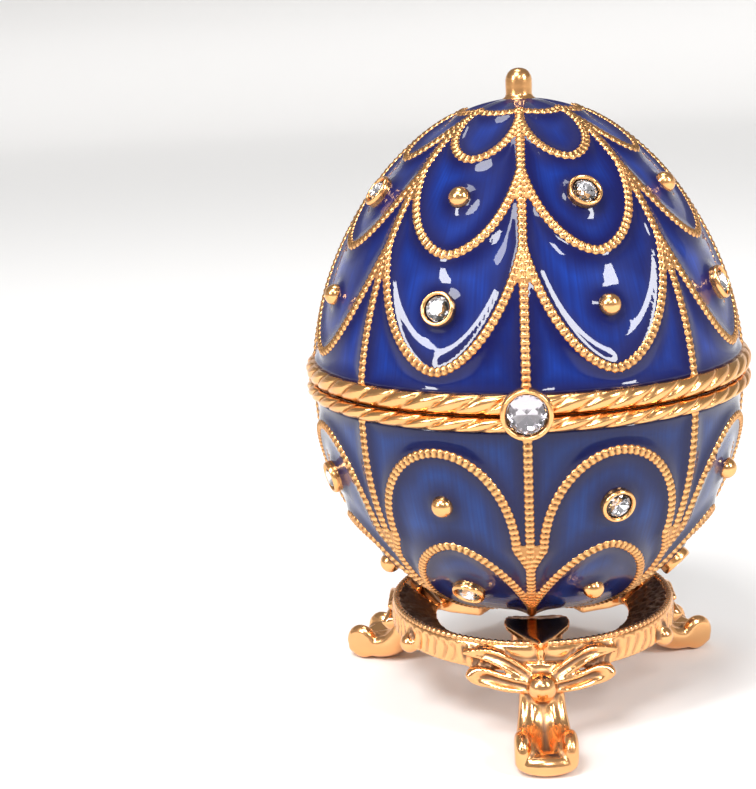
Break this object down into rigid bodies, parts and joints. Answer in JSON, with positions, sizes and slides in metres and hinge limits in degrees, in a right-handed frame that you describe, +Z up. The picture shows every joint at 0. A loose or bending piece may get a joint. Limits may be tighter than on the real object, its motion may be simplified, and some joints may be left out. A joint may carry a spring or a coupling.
{
  "type": "jewelled egg trinket box",
  "caption": "Hinged egg-shaped trinket box of gilt casting and deep blue enamel, set with clear stones and ball studs, on a footed stand.",
  "frame": {"origin": "on the surface it stands on, under the egg's axis", "axes": "+Z up along the egg's axis, -Y to the front where the clasp is, +Y to the hinge, +X to the right seen from the front"},
  "size_m": [0.0438, 0.0476, 0.0629],
  "materials": {
    "gold": "polished warm gilt with darker recesses",
    "enamel": "glossy translucent deep blue enamel",
    "pearl": "cream pearl enamel with soft swirls",
    "crystal": "clear faceted stone with a foiled back",
    "magnet": "plain grey disc"
  },
  "bodies": {
    "base": {"stand": "gold", "bowl_shell": "gold", "hinge_pin": "gold", "bowl_magnet": "magnet", "bowl_crystal_1": "crystal", "bowl_crystal_2": "crystal", "bowl_crystal_3": "crystal", "bowl_crystal_4": "crystal", "bowl_crystal_5": "crystal", "bowl_crystal_6": "crystal", "bowl_crystal_7": "crystal", "bowl_crystal_8": "crystal"},
    "lid": {"lid_shell": "gold", "lid_magnet": "magnet", "clasp_crystal": "crystal", "lid_crystal_1": "crystal", "lid_crystal_2": "crystal", "lid_crystal_3": "crystal", "lid_crystal_4": "crystal", "lid_crystal_5": "crystal", "lid_crystal_6": "crystal", "lid_crystal_7": "crystal", "lid_crystal_8": "crystal"}
  },
  "joints": [
    {"name": "lid_hinge", "type": "hinge", "parent": "base", "child": "lid", "pos_m": [0, 0.02254, 0.03375], "axis": [-1, 0, 0], "range_deg": [0, 80]}
  ]
}
